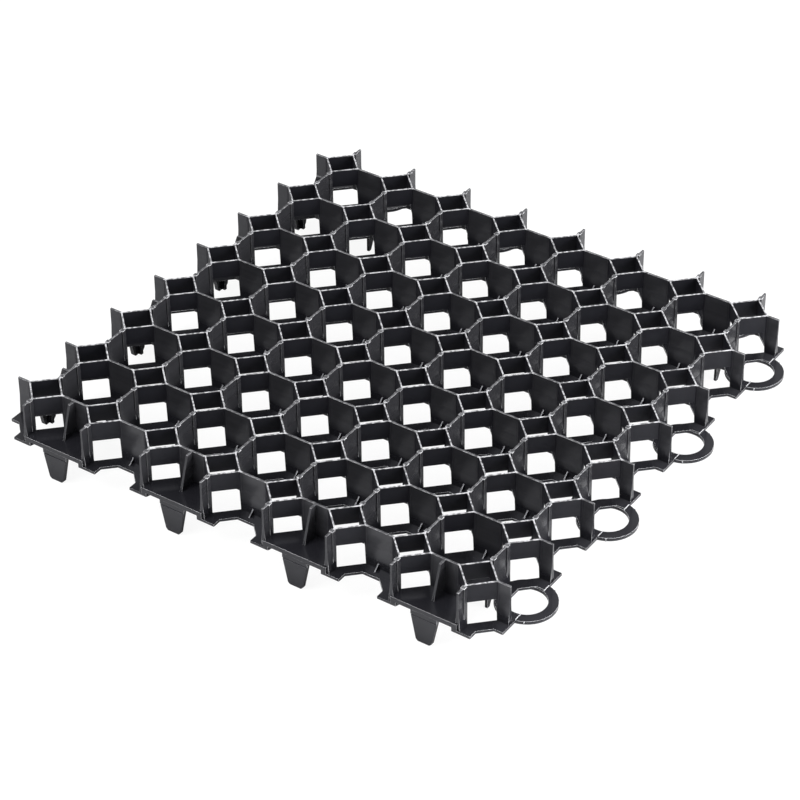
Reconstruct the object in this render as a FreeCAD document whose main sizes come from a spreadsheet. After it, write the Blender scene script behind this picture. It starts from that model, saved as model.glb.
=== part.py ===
"""Grass paver grid: one moulded pane of octagonal cells with ground spikes and joining rings.

The pane is a square lattice of nodes. Each node is a small square tube turned by 45 degrees,
and straight walls join the corners of neighbouring tubes, which leaves octagonal cells between
them. The tubes are only a band below the rim: lower down they are open as windows, and the walls
stand on a flange with octagonal holes. Two edges carry ground spikes under raised floors, and the
two edges across from them carry flat rings, which slip under the raised floors of the next pane.

Each layer or feature is drawn as a body with the first node at x = y = 0 and the underside of the
flange at z = 0. The bodies are fused into the one moulding, and its placement stands it on its
spike tips, centred on its overall box.
"""
import FreeCAD
import Part
import Sketcher
import math
import os

SIZES = {
    # lattice of tubes and walls
    "pitch": 62.5,
    "nodes": 8,
    "height": 40.0,
    "wall": 1.8,
    "wall_draft": 1.6,
    "tube_corner": 17.75,
    "tube_wall": 1.2,
    "band": 17.6,
    "band_land": 0.3,
    "band_flare": 31.0,
    "wall_lap": 1.0,
    "fin_inset": 1.25,
    # room under the tubes, as wide as a tube at the top
    "core_reach": 17.1,
    "core_draft": 6.0,
    # base flange and its octagonal holes
    "flange": 2.5,
    "hole_inradius": 18.5,
    "hole_side": 16.4,
    # small foot gussets on the walls along x
    "gusset_thick": 1.0,
    "gusset_out": 7.0,
    "gusset_high": 6.0,
    # raised floors and the tall braces on them
    "floor_under": 4.0,
    "floor_thick": 4.5,
    "brace_thick": 2.0,
    "brace_foot": 17.5,
    "brace_flat": 7.4,
    "brace_drop": 0.4,
    # ground spikes: a plate, a rib behind it and a collar at its root
    "spike_drop": 26.0,
    "spike_top": 27.0,
    "spike_tip": 15.0,
    "spike_corner": 2.0,
    "spike_thick": 3.0,
    "spike_inset": 1.25,
    "spike_rib": 3.3,
    "spike_root": 1.0,
    "collar_drop": 4.5,
    "collar_proud": 0.75,
    "collar_width": 25.0,
    # joining rings
    "ring_reach": 20.0,
    "ring_inset": 6.0,
    "ring_width": 8.5,
    "ring_thick": 3.2,
    "ring_drop": 1.2,
    "ring_clearance": 1.0,
    # closed floors of the corner cells, their anchor hole and their legs
    "floor_lap": 1.0,
    "anchor_radius": 6.25,
    "leg_out": 17.6,
    "leg_thick": 2.6,
    "leg_start": 2.3,
    "leg_tip": 5.7,
    "leg_top": 18.3,
}

HALF = "pitch / 2"
LOW_EDGE = "-1 * pitch / 2"
FAR_EDGE = "( nodes - 0.5 ) * pitch"
LAST_CELL = "( nodes - 1.5 ) * pitch"
FLOOR_TOP = "floor_under + floor_thick"
RING_RADIUS = "ring_reach + ring_inset"
GRID = {"X": "pitch", "Y": "pitch"}

doc = FreeCAD.newDocument("grass_paver_grid")
sheet = doc.addObject("Spreadsheet::Sheet", "sizes")
for row, (alias, value) in enumerate(SIZES.items(), start=1):
    sheet.set(f"A{row}", alias)
    sheet.set(f"B{row}", str(value))
    sheet.setAlias(f"B{row}", alias)
doc.recompute()


def bound(expression):
    """Name the sheet in front of every size in an expression."""
    words = expression.split()
    return " ".join(f"sizes.{word}" if word in SIZES else word for word in words)


def minus(expression):
    return f"-1 * ( {expression} )"


def moved(corners, x, y):
    """Shift corners by two expressions."""
    return [(f"{x} + ( {a} )", f"{y} + ( {b} )") for a, b in corners]


def quarter_turns(corners):
    """Repeat corners four times about the origin, a quarter turn apart."""
    turned = []
    for _ in range(4):
        turned.extend(corners)
        corners = [(minus(y), x) for x, y in corners]
    return turned


def rectangle(x_low, x_high, y_low, y_high):
    return [(x_low, y_low), (x_high, y_low), (x_high, y_high), (x_low, y_high)]


def new_body(name):
    body = doc.addObject("PartDesign::Body", name)
    body.AllowCompound = True
    return body


def datum(body, role):
    """The origin plane or axis of a body that has this role."""
    return next(item for item in body.Origin.OriginFeatures if item.Role == role)


def sketch(body, name, plane="XY", offset="0"):
    """Start a sketch on an origin plane, moved along the plane's normal."""
    drawing = body.newObject("Sketcher::SketchObject", f"{name}_sketch")
    drawing.AttachmentSupport = [(datum(body, f"{plane}_Plane"), "")]
    drawing.MapMode = "FlatFace"
    drawing.setExpression("AttachmentOffset.Base.z", bound(offset))
    return drawing


def pin(drawing, geometry, point, x, y):
    """Hold one point of a sketch at two coordinates given as expressions."""
    for kind, expression in (("DistanceX", x), ("DistanceY", y)):
        constraint = Sketcher.Constraint(kind, -1, 1, geometry, point, 1.0)
        index = drawing.addConstraint(constraint)
        drawing.setExpression(f"Constraints[{index}]", bound(expression))


def draw_polygon(drawing, corners):
    """Draw a closed polygon; its constraints move it from a small first shape to its place."""
    count = len(corners)
    turns = [2 * math.pi * number / count for number in range(count)]
    places = [FreeCAD.Vector(math.cos(turn), math.sin(turn), 0) for turn in turns]
    first = drawing.GeometryCount
    for number in range(count):
        drawing.addGeometry(Part.LineSegment(places[number - 1], places[number]), False)
    for number, (x, y) in enumerate(corners):
        after = first + (number + 1) % count
        drawing.addConstraint(Sketcher.Constraint("Coincident", first + number, 2, after, 1))
        pin(drawing, first + number, 2, x, y)


def draw_circle(drawing, x, y, radius):
    start = Part.Circle(FreeCAD.Vector(0, 0, 0), FreeCAD.Vector(0, 0, 1), 1.0)
    number = drawing.addGeometry(start, False)
    pin(drawing, number, 3, x, y)
    index = drawing.addConstraint(Sketcher.Constraint("Radius", number, 1.0))
    drawing.setExpression(f"Constraints[{index}]", bound(radius))


def finish(body, feature):
    """Make a feature the body's result."""
    feature.Refine = False
    body.Tip = feature
    doc.recompute()
    return feature


def extrude(body, kind, drawing, length, side="One side", reverse=False, taper="0"):
    """Pad or pocket a sketch by an expression; a pocket is checked to have cut something."""
    before = 0.0 if body.Shape.isNull() else body.Shape.Volume
    feature = body.newObject(f"PartDesign::{kind}", drawing.Name.replace("_sketch", ""))
    feature.Profile = drawing
    feature.setExpression("Length", bound(length))
    feature.setExpression("TaperAngle", bound(taper))
    feature.SideType = side
    feature.Reversed = reverse
    finish(body, feature)
    change = feature.Shape.Volume - before
    if (change < 0) != (kind == "Pocket"):
        raise RuntimeError(f"{feature.Name} changed the volume by {change}")
    return feature


def prism(body, name, corners, length, plane="XY", offset="0", **options):
    """Pad one polygon."""
    drawing = sketch(body, name, plane, offset)
    draw_polygon(drawing, corners)
    return extrude(body, "Pad", drawing, length, **options)


def linear(body, name, spacings, counts, originals=(), reverse=False):
    """Copies along x, y or both, of the features given or else of the whole body."""
    feature = body.newObject("PartDesign::LinearPattern", name)
    feature.Originals = list(originals)
    feature.TransformMode = "Features" if originals else "Whole shape"
    feature.Reversed = reverse
    for suffix, axis in zip(("", "2"), spacings):
        setattr(feature, f"Direction{suffix}", (datum(body, f"{axis}_Axis"), [""]))
        extent = f"( {spacings[axis]} ) * ( {counts[axis]} - 1 )"
        feature.setExpression(f"Length{suffix}", bound(extent))
        feature.setExpression(f"Occurrences{suffix}", bound(counts[axis]))
    return finish(body, feature)


def mirror_to_next_edge(body, name):
    """Add the body's mirror image across the vertical plane x = y."""
    plane = body.newObject("PartDesign::Plane", f"{name}_diagonal")
    plane.AttachmentSupport = [(datum(body, "XZ_Plane"), "")]
    plane.MapMode = "FlatFace"
    turn = FreeCAD.Rotation(FreeCAD.Vector(0, 1, 0), 45)
    plane.AttachmentOffset = FreeCAD.Placement(FreeCAD.Vector(0, 0, 0), turn)
    feature = body.newObject("PartDesign::Mirrored", f"{name}_mirrored")
    feature.TransformMode = "Whole shape"
    feature.MirrorPlane = (plane, [""])
    return finish(body, feature)


def pierced_plate(name, base, thick, inset, openings, flares=()):
    """A plate over the whole pane, less an inset, with openings in every square of the lattice.

    A flare is an opening that starts at the underside and narrows upwards.
    """
    body = new_body(name)
    edges = (f"{LOW_EDGE} + {inset}", f"{FAR_EDGE} - {inset}")
    prism(body, f"{name}_plate", rectangle(*edges, *edges), thick, offset=base)
    drawing = sketch(body, f"{name}_openings", offset=base)
    for opening in openings:
        draw_polygon(drawing, opening)
    cuts = [extrude(body, "Pocket", drawing, thick, reverse=True)]
    for corners, angle in flares:
        drawing = sketch(body, f"{name}_flare", offset=base)
        draw_polygon(drawing, corners)
        cuts.append(extrude(body, "Pocket", drawing, f"{thick} / 2", reverse=True, taper=minus(angle)))
    linear(body, f"{name}_grid", GRID, {"X": "nodes + 1", "Y": "nodes + 1"}, cuts)
    return body


def make_upper_walls():
    """The band below the rim: the tubes, bevelled inside at their lower edge, and the walls."""
    face = "( pitch / 2 - wall / 2 )"
    turn = "( pitch / 2 + wall / 2 - tube_corner - tube_wall / sqrt( 2 ) )"
    cell = quarter_turns([(face, turn), (turn, face)])
    bore = quarter_turns([("tube_corner - tube_wall / sqrt( 2 )", "0")])
    mouth = quarter_turns([("tube_corner + tube_wall / sqrt( 2 ) - band_land * sqrt( 2 )", "0")])
    openings = [moved(cell, LOW_EDGE, LOW_EDGE), bore]
    return pierced_plate("upper_walls", "height - band", "band", "fin_inset", openings,
                         [(mouth, "band_flare")])


def make_flange():
    """The flange with its octagonal holes."""
    half_side = "( hole_side / 2 )"
    hole = quarter_turns([("hole_inradius", half_side), (half_side, "hole_inradius")])
    return pierced_plate("base_flange", "0", "flange", "0", [moved(hole, LOW_EDGE, LOW_EDGE)])


def make_lower_walls(along, plane, normal):
    """The walls along one axis below the band, thicker at the foot; they end at the tubes."""
    body = new_body(f"lower_walls_{along.lower()}")
    name = f"wall_{along.lower()}"
    across = "Y" if along == "X" else "X"
    foot = "( wall / 2 + wall_draft )"
    section = [(minus(foot), "flange"), (foot, "flange"),
               ("wall / 2", "height - band"), ("-1 * wall / 2", "height - band")]
    end = "( tube_corner - wall_lap )"
    whole = prism(body, name, section, f"pitch - 2 * {end}", plane=plane,
                  offset=f"{normal} * pitch / 2", side="Symmetric")
    linear(body, f"{name}_grid", GRID, {along: "nodes - 1", across: "nodes"}, [whole])
    fin = prism(body, f"{name}_fin", section, f"pitch / 2 - fin_inset - {end}", plane=plane,
                offset=f"{normal} * ( {LOW_EDGE} + fin_inset )", reverse=normal < 0)
    spacings = {along: f"( nodes - 0.5 ) * pitch + {end} - fin_inset", across: "pitch"}
    linear(body, f"{name}_fins", spacings, {along: "2", across: "nodes"}, [fin])
    return body


def make_tube_cores():
    """The room under each tube: it opens through the flange and widens downwards."""
    body = new_body("tube_cores")
    side = "( tube_corner + tube_wall / sqrt( 2 ) - core_reach )"
    top = quarter_turns([("core_reach", side), (side, "core_reach")])
    core = prism(body, "tube_core", top, "height - band + flange",
                 offset="height - band", reverse=True, taper="core_draft")
    linear(body, "tube_core_grid", GRID, {"X": "nodes", "Y": "nodes"}, [core])
    return body


def make_gussets():
    """A small gusset at the foot of each wall along x."""
    body = new_body("gussets")
    foot = "-1 * ( wall / 2 + gusset_out )"
    seat = "flange / 2"
    profile = [("0", seat), (foot, seat), (foot, "flange"),
               ("-1 * wall / 2", "flange + gusset_high"), ("0", "flange + gusset_high")]
    prism(body, "gusset", profile, "gusset_thick", plane="YZ", offset=HALF, side="Symmetric")
    linear(body, "gusset_grid", GRID, {"X": "nodes - 1", "Y": "nodes"})
    return body


def make_ring_recesses():
    """The room that the next pane's rings take up under the raised floors."""
    body = new_body("ring_recesses")
    drawing = sketch(body, "ring_recess")
    draw_circle(drawing, HALF, f"{LOW_EDGE} - ring_inset", f"{RING_RADIUS} + ring_clearance")
    extrude(body, "Pad", drawing, "floor_under")
    linear(body, "ring_recess_row", {"X": "2 * pitch"}, {"X": "nodes / 2"})
    mirror_to_next_edge(body, "ring_recess")
    return body


def make_raised_floors():
    """A raised floor in every other half cell of two edges, with a tall brace on it."""
    body = new_body("raised_floors")
    cell = [("0", LOW_EDGE), ("pitch", LOW_EDGE), ("pitch", "-1 * tube_corner"),
            ("pitch - tube_corner", "0"), ("tube_corner", "0"), ("0", "-1 * tube_corner")]
    prism(body, "raised_floor", cell, FLOOR_TOP)
    seat = "floor_under + floor_thick / 2"
    profile = [("0", seat), ("-1 * brace_foot", seat), ("-1 * brace_foot", FLOOR_TOP),
               ("-1 * brace_flat", "height - brace_drop"), ("0", "height - brace_drop")]
    prism(body, "brace", profile, "brace_thick", plane="YZ", offset=HALF, side="Symmetric")
    linear(body, "raised_floor_row", {"X": "2 * pitch"}, {"X": "nodes / 2"})
    mirror_to_next_edge(body, "raised_floor")
    return body


def make_spikes():
    """A ground spike under each raised floor."""
    body = new_body("spikes")
    root = "floor_under + spike_root"
    half_plate = [("spike_top / 2", root), ("spike_tip / 2", "spike_corner - spike_drop"),
                  ("spike_tip / 2 - spike_corner", "-1 * spike_drop")]
    other_half = [(minus(x), z) for x, z in reversed(half_plate)]
    face = "pitch / 2 - spike_inset"
    prism(body, "spike_plate", moved(half_plate + other_half, HALF, "0"), "spike_thick",
          plane="XZ", offset=face, reverse=True)
    rib = rectangle("-1 * spike_thick / 2", "spike_thick / 2", "-1 * spike_drop", root)
    prism(body, "spike_rib_back", moved(rib, HALF, "0"), "spike_rib",
          plane="XZ", offset=f"{face} - spike_thick", reverse=True)
    collar = rectangle("-1 * collar_width / 2", "collar_width / 2", "floor_under - collar_drop", root)
    prism(body, "spike_collar", moved(collar, HALF, "0"), "collar_proud", plane="XZ", offset=face)
    linear(body, "spike_row", {"X": "2 * pitch"}, {"X": "nodes / 2"})
    mirror_to_next_edge(body, "spike")
    return body


def make_rings():
    """Flat half rings that carry the flange's edge holes on past the two far edges."""
    body = new_body("rings")
    drawing = sketch(body, "ring", offset="-1 * ring_drop")
    middle = f"{FAR_EDGE} - ring_inset"
    draw_circle(drawing, middle, HALF, RING_RADIUS)
    draw_circle(drawing, middle, HALF, f"{RING_RADIUS} - ring_width")
    extrude(body, "Pad", drawing, "ring_thick")
    linear(body, "ring_row", {"Y": "2 * pitch"}, {"Y": "nodes / 2"})
    mirror_to_next_edge(body, "ring")
    return body


def make_corner_cells():
    """Closed floors in the four corner cells: one has an anchor hole, the others a leg."""
    body = new_body("corner_cells")
    reach = "( hole_inradius + floor_lap )"
    half_side = "( hole_side / 2 )"
    octagon = quarter_turns([(reach, half_side), (half_side, reach)])
    plate = prism(body, "corner_floor", moved(octagon, HALF, HALF), "flange")
    span = "( nodes - 2 ) * pitch"
    linear(body, "corner_floors", {"X": span, "Y": span}, {"X": "2", "Y": "2"}, [plate])
    drawing = sketch(body, "anchor_hole")
    draw_circle(drawing, HALF, HALF, "anchor_radius")
    extrude(body, "Pocket", drawing, "flange", reverse=True)
    profile = [("leg_start", "flange / 2"), ("leg_start", "-1 * spike_drop"),
               ("leg_tip", "-1 * spike_drop"), ("leg_top", "flange / 2")]
    leg = prism(body, "leg", moved(profile, LAST_CELL, "0"), "leg_thick",
                plane="YZ", offset=f"{LAST_CELL} + leg_out", side="Symmetric")
    for axis in ("X", "Y"):
        linear(body, f"leg_{axis.lower()}", {axis: span}, {axis: "2"}, [leg], reverse=True)
    return body


def plain(body):
    """A body's shape as bare geometry, because fusing thousands of named faces is slow."""
    shape = body.Shape.copy()
    shape.Tag = 0
    shape.ElementMap = {}
    return shape


# The room under the tubes and the room that the next pane's rings take up stay open.
cores = plain(make_tube_cores())
recesses = plain(make_ring_recesses())
based = [plain(body).cut([cores, recesses]) for body in (make_flange(), make_raised_floors())]
walls = [plain(make_lower_walls(*axes)).cut(cores) for axes in (("X", "YZ", 1), ("Y", "XZ", -1))]
others = [plain(make()) for make in (make_gussets, make_spikes, make_rings, make_corner_cells)]
moulding = plain(make_upper_walls()).fuse(based + walls + others)

grid = doc.addObject("Part::Feature", "paver_grid")
grid.Label = "paver_grid"
grid.Shape = moulding.Solids[0]
middle = (sheet.nodes - 1) * sheet.pitch / 2 + sheet.ring_reach / 2
grid.Placement.Base = FreeCAD.Vector(-middle, -middle, sheet.spike_drop)
doc.recompute()

for item in doc.Objects:
    if "Invalid" in item.State or "Error" in item.State:
        raise RuntimeError(f"{item.Name} failed: {item.State}")
if grid.Shape.isNull() or not grid.Shape.isValid():
    raise RuntimeError("paver_grid has no valid shape")
if len(moulding.Solids) != 1:
    raise RuntimeError(f"the moulding fell into {len(moulding.Solids)} solids")

os.makedirs("parts", exist_ok=True)
grid.Shape.exportStep("parts/paver_grid.step")
box = grid.Shape.BoundBox
print(f"paver_grid: {box.XLength:.2f} x {box.YLength:.2f} x {box.ZLength:.2f} mm,",
      f"lowest corner {box.XMin:.2f}, {box.YMin:.2f}, {box.ZMin:.2f},",
      f"{grid.Shape.Volume / 1000:.1f} cm3, {len(grid.Shape.Faces)} faces")
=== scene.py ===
"""Looks of the grass paver grid: satin black moulded plastic on a white studio floor."""
import math

import bmesh
import bpy
from mathutils import Matrix, Vector


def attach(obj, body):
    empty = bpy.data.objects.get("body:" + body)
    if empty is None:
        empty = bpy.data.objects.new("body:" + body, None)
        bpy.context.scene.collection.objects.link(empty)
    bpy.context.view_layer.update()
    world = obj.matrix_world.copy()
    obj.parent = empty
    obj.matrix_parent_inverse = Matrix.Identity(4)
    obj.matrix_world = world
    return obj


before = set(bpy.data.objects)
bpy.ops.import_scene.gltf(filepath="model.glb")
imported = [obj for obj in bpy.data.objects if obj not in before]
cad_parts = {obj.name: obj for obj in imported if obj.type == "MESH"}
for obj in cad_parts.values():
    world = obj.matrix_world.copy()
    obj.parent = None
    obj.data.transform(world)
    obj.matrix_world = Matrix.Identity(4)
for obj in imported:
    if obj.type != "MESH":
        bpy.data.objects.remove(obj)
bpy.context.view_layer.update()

MM = 0.001
UP = Vector((0.0, 0.0, 1.0))
WHITE = (1.0, 1.0, 1.0, 1.0)

# The lattice, the rings and the spikes, as in the part's source.
PITCH = 62.5 * MM
NODES = 8
TUBE_CORNER = 17.75 * MM
FLANGE = 2.5 * MM
FLOOR_UNDER = 4.0 * MM
HEIGHT = 40.0 * MM
RING_REACH = 20.0 * MM
RING_INSET = 6.0 * MM
RING_WIDTH = 8.5 * MM
RING_THICK = 3.2 * MM
RING_DROP = 1.2 * MM
SPIKE_DROP = 26.0 * MM
SPIKE_TOP = 27.0 * MM
SPIKE_TIP = 15.0 * MM
SPIKE_CORNER = 2.0 * MM
SPIKE_INSET = 1.25 * MM
SPIKE_ROOT = 1.0 * MM
COLLAR_DROP = 4.5 * MM

# Places that follow from those sizes.
FIRST_NODE = -((NODES - 1) * PITCH + RING_REACH) / 2
NEAR_EDGE = FIRST_NODE - PITCH / 2
FAR_EDGE = NEAR_EDGE + NODES * PITCH
BASE_Z = SPIKE_DROP
RIM_Z = BASE_Z + HEIGHT
SPIKE_ROOT_Z = BASE_Z + FLOOR_UNDER + SPIKE_ROOT
COLLAR_FOOT_Z = BASE_Z + FLOOR_UNDER - COLLAR_DROP

# Square posts on the walls along y.
POST_SIDE = 4.0 * MM
POST_INSET = 3.6 * MM
POST_RISE = 0.12 * MM

# Pointed nubs on the rim of a ring, and the ledge across its roots.
NUB_TURN = math.radians(62.0)
NUB_WIDTH = 2.4 * MM
NUB_PROUD = 1.1 * MM
NUB_SINK = 0.5 * MM
LEDGE_WIDTH = 0.9 * MM
LEDGE_RISE = 0.35 * MM
LEDGE_MARGIN = 0.3 * MM

# The raised face of a ground spike, and the groove between it and the collar.
FACE_GAP = 0.8 * MM
FACE_PROUD = 0.75 * MM
FACE_SINK = 0.5 * MM

# Rounding of the outward edges.
WELD_GAP = 0.005 * MM
EDGE_ROUND = 0.35 * MM
EDGE_SEGMENTS = 2
SHARP_ANGLE = 0.5

# Where the plastic's grey changes, as painted light and shade: the feet of the walls, the tubes' corners and
# the painted highlight on the rim.
FOOT_Z = BASE_Z + 8.6 * MM
FOOT_FADE = 7.0 * MM
WALL_START = TUBE_CORNER + 1.2 * MM
WALL_FADE = 2.0 * MM
RIM_FADE = 0.6 * MM

# The plastic's tint and shine.
BLUE_SHARE = 1.03
COOLNESS = 0.0025
SHINE = (0.93, 0.94, 1.0, 1.0)
SHINE_LEVEL = 0.36

# Noise in the plastic, as features to the metre, and ramps as pairs of a position and a level.
NOISE_DETAIL = 3.0
STREAK_STRETCH = (10.0, 10.0, 240.0)
STREAK_SCALE = 1.0
STREAK_SHARE = 0.6
CLOUD_SCALE = 22.0
CLOUD_SHARE = 0.4
MARK_LEVELS = ((0.35, 0.86), (0.65, 1.06))
# Patchy painted highlight on the rim: its noise scale and its ramp.
RIM_HIGHLIGHT_SCALE = 330.0
RIM_HIGHLIGHT_LEVELS = ((0.42, 0.25), (0.56, 1.0))
GLOSS_SCALE = 90.0
SATIN_LEVELS = ((0.25, 0.15), (0.8, 0.22))
MATT_LEVELS = ((0.25, 0.55), (0.8, 0.65))
GRAIN_SCALE = 1600.0
GRAIN_DETAIL = 2.0
GRAIN_STRENGTH = 0.07
GRAIN_DEPTH = 0.1 * MM

# The studio: the floor's greys and glows, the world's levels by height, and the soft lights.
FLOOR_SIZE = 40.0
FLOOR_GREY = 0.8
SEEN_FLOOR = {"level": 0.12, "glow": 0.92}
MIRRORED_FLOOR = {"level": 0.72, "glow": 0.03}
FILL = 0.28
HORIZON = 1.0
CEILING = 0.62
CEILING_START = 0.15
CEILING_END = 0.55
SOFTBOXES = {
    "key": {"place": (-0.9, -1.6, 2.2), "size": 1.5, "power": 62.0},
    "top": {"place": (0.3, 0.6, 2.2), "size": 2.4, "power": 40.0},
    "side": {"place": (2.0, 0.3, 1.0), "size": 1.2, "power": 74.0},
}

# The camera, fitted to the lattice in the photograph: tilt, roll and heading in degrees.
CAMERA_PLACE = (1.14504, -1.70870, 1.51933)
CAMERA_TURN = (53.69652, 0.16469, 34.19158)
CAMERA_LENS = 130.987


def new_tree(owner):
    """An empty node tree in a material or a world."""
    owner.use_nodes = True
    owner.node_tree.nodes.clear()
    return owner.node_tree


def feed(tree, socket, value):
    """Give a socket a number or another socket's value."""
    if isinstance(value, float):
        socket.default_value = value
    else:
        tree.links.new(value, socket)


def combine(tree, operation, first, second):
    """One arithmetic step; each side is a socket or a number."""
    node = tree.nodes.new("ShaderNodeMath")
    node.operation = operation
    feed(tree, node.inputs[0], first)
    feed(tree, node.inputs[1], second)
    return node.outputs["Value"]


def change(tree, value, start, end, low=0.0, high=1.0):
    """The low level up to the start, and the high one from the end on."""
    node = tree.nodes.new("ShaderNodeMapRange")
    node.inputs["From Min"].default_value = start
    node.inputs["From Max"].default_value = end
    node.inputs["To Min"].default_value = low
    node.inputs["To Max"].default_value = high
    tree.links.new(value, node.inputs["Value"])
    return node.outputs["Result"]


def grey(level):
    """A slightly cool grey."""
    return (level, level, level * BLUE_SHARE + COOLNESS, 1.0)


def blend(tree, amount, first, second, kind="MIX"):
    """A mix of two colours, each a socket or a level of cool grey."""
    mix = tree.nodes.new("ShaderNodeMix")
    mix.data_type = "RGBA"
    mix.blend_type = kind
    feed(tree, mix.inputs["Factor"], amount)
    for name, colour in (("A", first), ("B", second)):
        if isinstance(colour, float):
            mix.inputs[name].default_value = grey(colour)
        else:
            tree.links.new(colour, mix.inputs[name])
    return mix.outputs["Result"]


def noise(tree, vector, scale, detail=NOISE_DETAIL):
    node = tree.nodes.new("ShaderNodeTexNoise")
    node.inputs["Scale"].default_value = scale
    node.inputs["Detail"].default_value = detail
    tree.links.new(vector, node.inputs["Vector"])
    return node.outputs["Fac"]


def ramp(tree, value, levels):
    """Plain greys along a value, from two pairs of a position and a level."""
    node = tree.nodes.new("ShaderNodeValToRGB")
    for element, (position, level) in zip(node.color_ramp.elements, levels):
        element.position = position
        element.color = (level, level, level, 1.0)
    tree.links.new(value, node.inputs["Fac"])
    return node.outputs["Color"]


def split(tree, vector):
    """The three axes of a vector."""
    node = tree.nodes.new("ShaderNodeSeparateXYZ")
    tree.links.new(vector, node.inputs["Vector"])
    return node.outputs


def off_centre(tree, axis):
    """Distance along one axis from the nearest line of nodes."""
    steps = combine(tree, "SUBTRACT", axis, FIRST_NODE)
    return combine(tree, "PINGPONG", steps, PITCH / 2)


def wall_share(tree, axes):
    """Nought on the tubes and one on the walls between them."""
    reach = combine(tree, "ADD", off_centre(tree, axes["X"]), off_centre(tree, axes["Y"]))
    return change(tree, reach, WALL_START, WALL_START + WALL_FADE)


def painted_rim_highlight(tree, place, axes):
    """A patchy painted highlight on the rim, and none below it."""
    top = change(tree, axes["Z"], RIM_Z - RIM_FADE, RIM_Z - RIM_FADE / 2)
    return combine(tree, "MULTIPLY", top, ramp(tree, noise(tree, place, RIM_HIGHLIGHT_SCALE), RIM_HIGHLIGHT_LEVELS))


def flow_marks(tree, place):
    """Level streaks and soft clouds, left by the flow of the plastic in the mould."""
    stretch = tree.nodes.new("ShaderNodeMapping")
    stretch.inputs["Scale"].default_value = STREAK_STRETCH
    tree.links.new(place, stretch.inputs["Vector"])
    streaks = noise(tree, stretch.outputs["Vector"], STREAK_SCALE)
    clouds = noise(tree, place, CLOUD_SCALE)
    marks = combine(tree, "ADD", combine(tree, "MULTIPLY", streaks, STREAK_SHARE),
                    combine(tree, "MULTIPLY", clouds, CLOUD_SHARE))
    return ramp(tree, marks, MARK_LEVELS)


def uneven_gloss(tree, place, walls):
    """The roughness: satin on the walls and matt on the tubes."""
    patches = noise(tree, place, GLOSS_SCALE)
    return blend(tree, walls, ramp(tree, patches, MATT_LEVELS), ramp(tree, patches, SATIN_LEVELS))


def fine_grain(tree, place):
    bump = tree.nodes.new("ShaderNodeBump")
    bump.inputs["Strength"].default_value = GRAIN_STRENGTH
    bump.inputs["Distance"].default_value = GRAIN_DEPTH
    tree.links.new(noise(tree, place, GRAIN_SCALE, GRAIN_DETAIL), bump.inputs["Height"])
    return bump.outputs["Normal"]


def make_plastic(name, foot, tube, wall, tube_rim_highlight, wall_rim_highlight):
    """Black moulded plastic with flow marks, uneven gloss, a fine grain, painted light and shade as greys by
    zone, and a patchy painted highlight on the rim.
    """
    material = bpy.data.materials.new(name)
    tree = new_tree(material)
    place = tree.nodes.new("ShaderNodeTexCoord").outputs["Object"]
    axes = split(tree, place)
    walls = wall_share(tree, axes)
    # Painted light and shade: one black plastic gets a grey of its own on the feet, on the tubes and on the
    # walls.
    above_foot = change(tree, axes["Z"], FOOT_Z, FOOT_Z + FOOT_FADE)
    plain = blend(tree, above_foot, foot, blend(tree, walls, tube, wall))
    marked = blend(tree, 1.0, plain, flow_marks(tree, place), kind="MULTIPLY")
    # Painted highlight on the rim, with greys of its own on the tubes and on the walls.
    rim_highlight = blend(tree, walls, tube_rim_highlight, wall_rim_highlight)

    shader = tree.nodes.new("ShaderNodeBsdfPrincipled")
    shader.inputs["Specular IOR Level"].default_value = SHINE_LEVEL
    shader.inputs["Specular Tint"].default_value = SHINE
    colour = blend(tree, painted_rim_highlight(tree, place, axes), marked, rim_highlight)
    tree.links.new(colour, shader.inputs["Base Color"])
    tree.links.new(uneven_gloss(tree, place, walls), shader.inputs["Roughness"])
    tree.links.new(fine_grain(tree, place), shader.inputs["Normal"])
    output = tree.nodes.new("ShaderNodeOutputMaterial")
    tree.links.new(shader.outputs["BSDF"], output.inputs["Surface"])
    return material


def edge_marker():
    """Geometry nodes that weigh the outward edges for rounding."""
    group = bpy.data.node_groups.new("outward_edges", "GeometryNodeTree")
    group.interface.new_socket("Geometry", in_out="INPUT", socket_type="NodeSocketGeometry")
    group.interface.new_socket("Geometry", in_out="OUTPUT", socket_type="NodeSocketGeometry")
    entry = group.nodes.new("NodeGroupInput")
    leave = group.nodes.new("NodeGroupOutput")
    angle = group.nodes.new("GeometryNodeInputMeshEdgeAngle")
    outward = group.nodes.new("FunctionNodeCompare")
    outward.data_type = "FLOAT"
    outward.operation = "GREATER_THAN"
    outward.inputs["B"].default_value = SHARP_ANGLE
    store = group.nodes.new("GeometryNodeStoreNamedAttribute")
    store.data_type = "FLOAT"
    store.domain = "EDGE"
    store.inputs["Name"].default_value = "bevel_weight_edge"
    group.links.new(angle.outputs["Signed Angle"], outward.inputs["A"])
    group.links.new(entry.outputs["Geometry"], store.inputs["Geometry"])
    group.links.new(outward.outputs["Result"], store.inputs["Value"])
    group.links.new(store.outputs["Geometry"], leave.inputs["Geometry"])
    return group


def dress(piece, plastic, edge_plastic, marker):
    """Give a piece its plastic and rounded outward edges with a plastic of their own, which may carry a
    painted highlight.
    """
    piece.data.materials.clear()
    piece.data.materials.append(plastic)
    piece.data.materials.append(edge_plastic)
    weld = piece.modifiers.new("weld", "WELD")
    weld.merge_threshold = WELD_GAP
    piece.modifiers.new("outward", "NODES").node_group = marker
    bevel = piece.modifiers.new("edges", "BEVEL")
    bevel.width = EDGE_ROUND
    bevel.segments = EDGE_SEGMENTS
    bevel.limit_method = "WEIGHT"
    bevel.material = 1
    bevel.harden_normals = True


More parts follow.
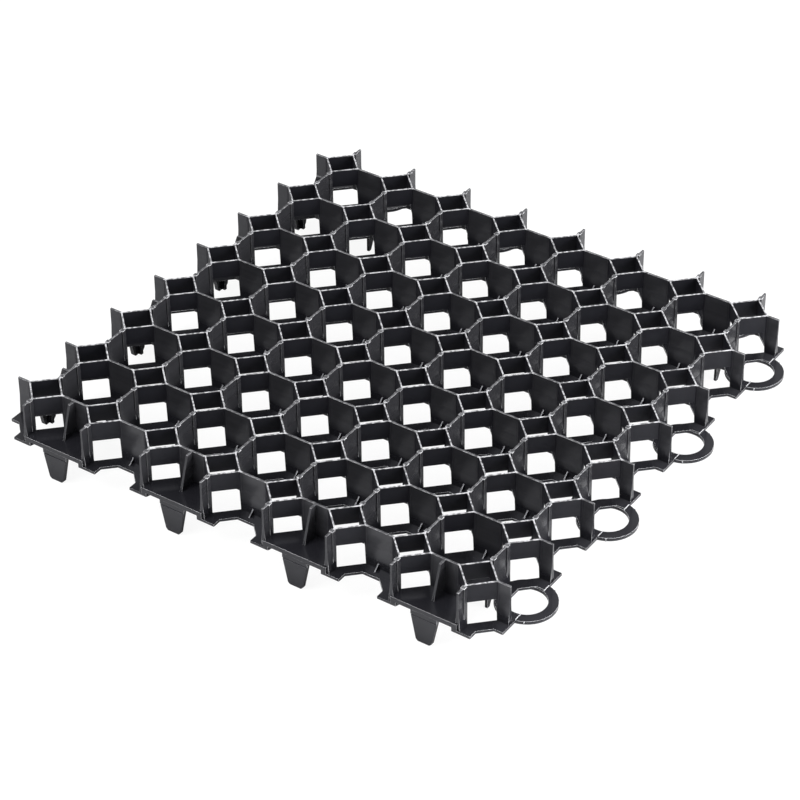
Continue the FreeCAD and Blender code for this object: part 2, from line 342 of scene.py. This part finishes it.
def new_piece(name, build):
    """Make a piece from a bmesh and let it ride with the pane."""
    shape = bmesh.new()
    build(shape)
    bmesh.ops.recalc_face_normals(shape, faces=shape.faces)
    mesh = bpy.data.meshes.new(name)
    shape.to_mesh(mesh)
    shape.free()
    piece = bpy.data.objects.new(name, mesh)
    bpy.context.collection.objects.link(piece)
    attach(piece, "root")
    return piece


def add_box(shape, low, high):
    place = Matrix.Translation((low + high) / 2) @ Matrix.Diagonal((*(high - low), 1.0))
    bmesh.ops.create_cube(shape, size=1.0, matrix=place)


def add_prism(shape, first_outline, second_outline):
    """A closed solid between two like outlines."""
    first = [shape.verts.new(point) for point in first_outline]
    second = [shape.verts.new(point) for point in second_outline]
    for number in range(len(first)):
        shape.faces.new((first[number - 1], first[number], second[number], second[number - 1]))
    shape.faces.new(first)
    shape.faces.new(second)


def edge_places(reach, sign):
    """Places on every other cell of two edges, with the direction that faces outwards."""
    for step in range(0, NODES, 2):
        along = FIRST_NODE + (step + 0.5) * PITCH
        yield Vector((reach, along, 0.0)), Vector((sign, 0.0, 0.0))
        yield Vector((along, reach, 0.0)), Vector((0.0, sign, 0.0))


def build_posts(shape):
    """Two square posts on the wall along y at every node, from the flange to the rim."""
    half = Vector((POST_SIDE / 2, POST_SIDE / 2, 0.0))
    low = UP * (BASE_Z + FLANGE / 2) - half
    high = UP * (RIM_Z + POST_RISE) + half
    for i in range(NODES):
        for j in range(NODES):
            for side in (-1, 1):
                along = FIRST_NODE + j * PITCH + side * (TUBE_CORNER + POST_INSET)
                middle = Vector((FIRST_NODE + i * PITCH, along, 0.0))
                add_box(shape, middle + low, middle + high)


def add_nub(shape, foot, outward):
    """A three-sided nub, as high as the ring, that points outwards."""
    side = outward.cross(UP) * NUB_WIDTH / 2
    root = foot - outward * NUB_SINK
    plan = [root - side, foot + outward * NUB_PROUD, root + side]
    low = UP * (BASE_Z - RING_DROP)
    high = low + UP * RING_THICK
    add_prism(shape, [point + low for point in plan], [point + high for point in plan])


def add_ledge(shape, middle, outward, across):
    """A thin ledge on the pane's edge across one root of a ring."""
    outer = RING_REACH + RING_INSET
    far = math.sqrt(outer ** 2 - RING_INSET ** 2) - LEDGE_MARGIN
    near = math.sqrt((outer - RING_WIDTH) ** 2 - RING_INSET ** 2) + LEDGE_MARGIN
    edge = middle + outward * RING_INSET
    ends = [edge - outward * LEDGE_WIDTH + across * near + UP * (BASE_Z + FLANGE / 2),
            edge + across * far + UP * (BASE_Z + FLANGE + LEDGE_RISE)]
    low = Vector(min(values) for values in zip(*ends))
    high = Vector(max(values) for values in zip(*ends))
    add_box(shape, low, high)


def build_ring_marks(shape):
    """Two nubs on the rim of every ring and a ledge across each of its two roots."""
    for middle, outward in edge_places(FAR_EDGE - RING_INSET, 1.0):
        for side in (-1, 1):
            across = outward.cross(UP) * side
            axis = outward * math.cos(NUB_TURN) + across * math.sin(NUB_TURN)
            add_nub(shape, middle + axis * (RING_REACH + RING_INSET), axis)
            add_ledge(shape, middle, outward, across)


def build_spike_faces(shape):
    """A thin plate on the front of every spike, which leaves a groove under the collar."""
    top = COLLAR_FOOT_Z - FACE_GAP
    share = (top - SPIKE_CORNER) / (SPIKE_ROOT_Z - SPIKE_CORNER)
    half_top = (SPIKE_TIP + (SPIKE_TOP - SPIKE_TIP) * share) / 2
    half_tip = SPIKE_TIP / 2
    one_side = [(half_top, top), (half_tip, SPIKE_CORNER), (half_tip - SPIKE_CORNER, 0.0)]
    outline = one_side + [(-side, z) for side, z in reversed(one_side)]
    for middle, outward in edge_places(NEAR_EDGE + SPIKE_INSET, -1.0):
        across = outward.cross(UP)
        face = [middle + across * side + UP * z for side, z in outline]
        back = [point - outward * FACE_SINK for point in face]
        front = [point + outward * FACE_PROUD for point in face]
        add_prism(shape, back, front)


def choose_shader(tree, amount, first, second):
    """The first shader where the amount is nought, and the second where it is one."""
    mix = tree.nodes.new("ShaderNodeMixShader")
    tree.links.new(amount, mix.inputs["Fac"])
    tree.links.new(first, mix.inputs[1])
    tree.links.new(second, mix.inputs[2])
    return mix.outputs["Shader"]


def light_path(tree, ray):
    return tree.nodes.new("ShaderNodeLightPath").outputs[ray]


def seen_rays(tree):
    """One for camera, glossy and transmission rays, which see the white studio."""
    total = combine(tree, "ADD", light_path(tree, "Is Camera Ray"), light_path(tree, "Is Glossy Ray"))
    return combine(tree, "MAXIMUM", total, light_path(tree, "Is Transmission Ray"))


def diffuse(tree, level):
    node = tree.nodes.new("ShaderNodeBsdfDiffuse")
    node.inputs["Color"].default_value = (level, level, level, 1.0)
    return node.outputs["BSDF"]


def lit_glow(tree, level, glow):
    """A diffuse grey that also glows."""
    light = tree.nodes.new("ShaderNodeEmission")
    light.inputs["Strength"].default_value = glow
    both = tree.nodes.new("ShaderNodeAddShader")
    tree.links.new(diffuse(tree, level), both.inputs[0])
    tree.links.new(light.outputs["Emission"], both.inputs[1])
    return both.outputs["Shader"]


def make_floor():
    """A pale floor: white to the camera, and as it is lit, with the pane's shadow, in reflections."""
    bpy.ops.mesh.primitive_plane_add(size=FLOOR_SIZE)
    floor = bpy.context.object
    floor.name = "floor"
    material = bpy.data.materials.new("floor_white")
    tree = new_tree(material)
    mirrored = lit_glow(tree, **MIRRORED_FLOOR)
    seen = lit_glow(tree, **SEEN_FLOOR)
    white = choose_shader(tree, light_path(tree, "Is Camera Ray"), mirrored, seen)
    surface = choose_shader(tree, seen_rays(tree), diffuse(tree, FLOOR_GREY), white)
    output = tree.nodes.new("ShaderNodeOutputMaterial")
    tree.links.new(surface, output.inputs["Surface"])
    floor.data.materials.append(material)


def background(tree, strength):
    node = tree.nodes.new("ShaderNodeBackground")
    node.inputs["Color"].default_value = WHITE
    feed(tree, node.inputs["Strength"], strength)
    return node.outputs["Background"]


def make_world():
    """White to the camera and, low down, in reflections; a dimmer ceiling and softer light."""
    world = bpy.data.worlds.new("studio")
    bpy.context.scene.world = world
    tree = new_tree(world)
    axes = split(tree, tree.nodes.new("ShaderNodeTexCoord").outputs["Generated"])
    mirrored = change(tree, axes["Z"], CEILING_START, CEILING_END, HORIZON, CEILING)
    shown = combine(tree, "MAXIMUM", light_path(tree, "Is Camera Ray"), mirrored)
    surface = choose_shader(tree, seen_rays(tree), background(tree, FILL), background(tree, shown))
    output = tree.nodes.new("ShaderNodeOutputWorld")
    tree.links.new(surface, output.inputs["Surface"])


def add_softbox(name, place, size, power):
    """A square light that faces the middle of the pane."""
    light = bpy.data.lights.new(name, "AREA")
    light.shape = "SQUARE"
    light.size = size
    light.energy = power
    lamp = bpy.data.objects.new(name, light)
    lamp.location = place
    lamp.rotation_euler = (-Vector(place)).to_track_quat("-Z", "Y").to_euler()
    bpy.context.collection.objects.link(lamp)


def make_camera():
    data = bpy.data.cameras.new("camera")
    data.lens = CAMERA_LENS
    camera = bpy.data.objects.new("camera", data)
    camera.location = CAMERA_PLACE
    camera.rotation_euler = [math.radians(angle) for angle in CAMERA_TURN]
    bpy.context.collection.objects.link(camera)
    bpy.context.scene.camera = camera


# The greys by zone are painted light and shade on one plastic: darkest in the tubes, lighter on the feet and
# lightest on the walls, with a painted highlight on the rim.
black_plastic = make_plastic("black_plastic", foot=0.012, tube=0.003, wall=0.027, tube_rim_highlight=0.42, wall_rim_highlight=0.1)
# A much lighter plastic for the rounded edges: a painted highlight along them, brightest on the feet and the
# rim.
painted_edge_highlight = make_plastic("painted_edge_highlight", foot=0.6, tube=0.07, wall=0.07, tube_rim_highlight=0.62, wall_rim_highlight=0.55)
outward_edges = edge_marker()
dress(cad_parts["paver_grid"], black_plastic, painted_edge_highlight, outward_edges)
dress(new_piece("wall_posts", build_posts), black_plastic, painted_edge_highlight, outward_edges)
dress(new_piece("ring_marks", build_ring_marks), black_plastic, painted_edge_highlight, outward_edges)
dress(new_piece("spike_faces", build_spike_faces), black_plastic, black_plastic, outward_edges)

make_floor()
make_world()
for softbox_name, softbox in SOFTBOXES.items():
    add_softbox(softbox_name, **softbox)
make_camera()
bpy.context.scene.view_settings.view_transform = "Standard"
